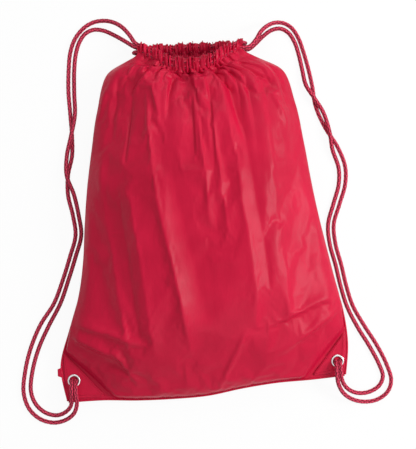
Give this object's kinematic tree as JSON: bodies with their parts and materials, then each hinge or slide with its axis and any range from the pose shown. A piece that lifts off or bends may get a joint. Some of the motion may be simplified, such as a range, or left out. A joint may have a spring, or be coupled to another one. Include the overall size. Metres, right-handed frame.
{
  "type": "drawstring backpack",
  "caption": "Drawstring backpack lying on its back, its gathered mouth drawn up by braided cords that run to eyelets in the flat lower corners.",
  "frame": {"origin": "middle of the underside of the bag's bounding box, measured without the free cords, on the surface the bag lies on", "axes": "+X across the bag to its right as seen from the front, +Y along the bag towards the mouth, +Z out of the front panel"},
  "size_m": [0.4556, 0.4936, 0.08],
  "materials": {
    "cloth": "thin woven crimson nylon with a soft sheen",
    "cord": "round braided crimson cord",
    "eyelet_metal": "polished light metal"
  },
  "bodies": {
    "bag": {"front_panel": "cloth", "back_panel": "cloth", "side_seam_left": "cloth", "side_seam_right": "cloth", "base_seam": "cloth", "back_casing": "cloth", "corner_patch_front_left": "cloth", "corner_patch_front_right": "cloth", "corner_patch_back_left": "cloth", "corner_patch_back_right": "cloth", "seam_tab_left": "cloth", "eyelet_left": "eyelet_metal", "eyelet_right": "eyelet_metal", "eyelet_washer_left": "eyelet_metal", "eyelet_washer_right": "eyelet_metal", "cord_left_outer_strand": "cord", "cord_left_inner_strand": "cord", "cord_right_outer_strand": "cord", "cord_right_inner_strand": "cord", "cord_left_back_run": "cord", "cord_left_bight": "cord", "cord_right_back_run": "cord", "cord_right_bight": "cord", "cord_left_knot": "cord", "cord_right_knot": "cord", "cord_left_tails": "cord", "cord_right_tails": "cord"},
    "front_rim": {"front_casing": "cloth", "cord_left_front_run": "cord", "cord_right_front_run": "cord"}
  },
  "joints": [
    {"name": "mouth_lift", "type": "hinge", "parent": "bag", "child": "front_rim", "pos_m": [0, 0.217, 0.024], "axis": [-1, 0, 0], "range_deg": [0, 20]}
  ]
}
